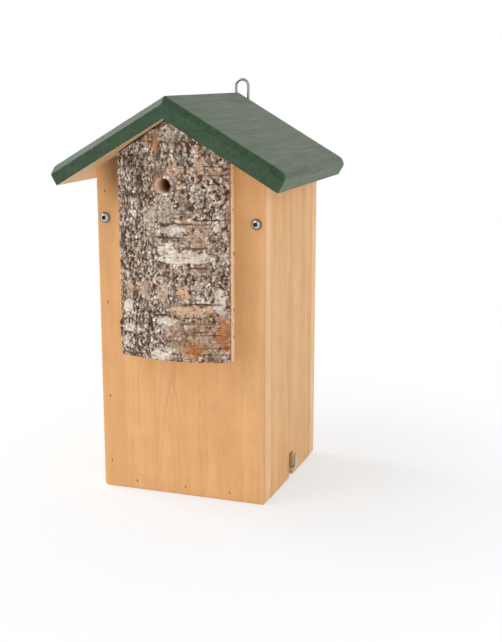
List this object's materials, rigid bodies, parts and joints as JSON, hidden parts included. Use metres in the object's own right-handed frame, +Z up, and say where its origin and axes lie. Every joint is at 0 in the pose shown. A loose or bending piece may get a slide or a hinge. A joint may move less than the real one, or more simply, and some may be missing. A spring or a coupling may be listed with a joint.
{
  "type": "bird nest box",
  "caption": "Hanging wooden bird nest box with a gabled roof, a bark slab round the entrance hole, and a side door that swings out at the foot and is held by a turn hook.",
  "frame": {"origin": "centre of the box's footprint, on its underside", "axes": "+X to the right seen from the front, +Y from the front to the back, +Z up"},
  "size_m": [0.2344, 0.2135, 0.412],
  "materials": {
    "softwood": "honey stain, planed",
    "roof_wood": "green wood paint, bare underneath",
    "birch_bark": "rough birch bark, sawn edges",
    "zinc_steel": "zinc plated",
    "brad_steel": "dull wire"
  },
  "bodies": {
    "box": {"front_panel": "softwood", "back_panel": "softwood", "left_side_panel": "softwood", "floor_panel": "softwood", "roof_board_left": "roof_wood", "roof_board_right": "roof_wood", "bark_slab": "birch_bark", "slab_screws": "zinc_steel", "pivot_screws": "zinc_steel", "fixing_screws": "zinc_steel", "screw_washers": "zinc_steel", "front_side_brads": "brad_steel", "front_floor_brads": "brad_steel", "back_side_brads": "brad_steel", "back_floor_brads": "brad_steel", "roof_brads_left": "brad_steel", "roof_brads_right": "brad_steel", "hanger_wire": "zinc_steel", "hanger_screws": "zinc_steel"},
    "door": {"right_side_door": "softwood"},
    "hook": {"latch_hook": "zinc_steel"}
  },
  "joints": [
    {"name": "door_swing", "type": "hinge", "parent": "box", "child": "door", "pos_m": [0.0785, 0, 0.279], "axis": [0, -1, 0], "range_deg": [0, 120]},
    {"name": "hook_turn", "type": "hinge", "parent": "box", "child": "hook", "pos_m": [0.0692, 0, 0.01], "axis": [1, 0, 0], "range_deg": [-90, 90]}
  ]
}
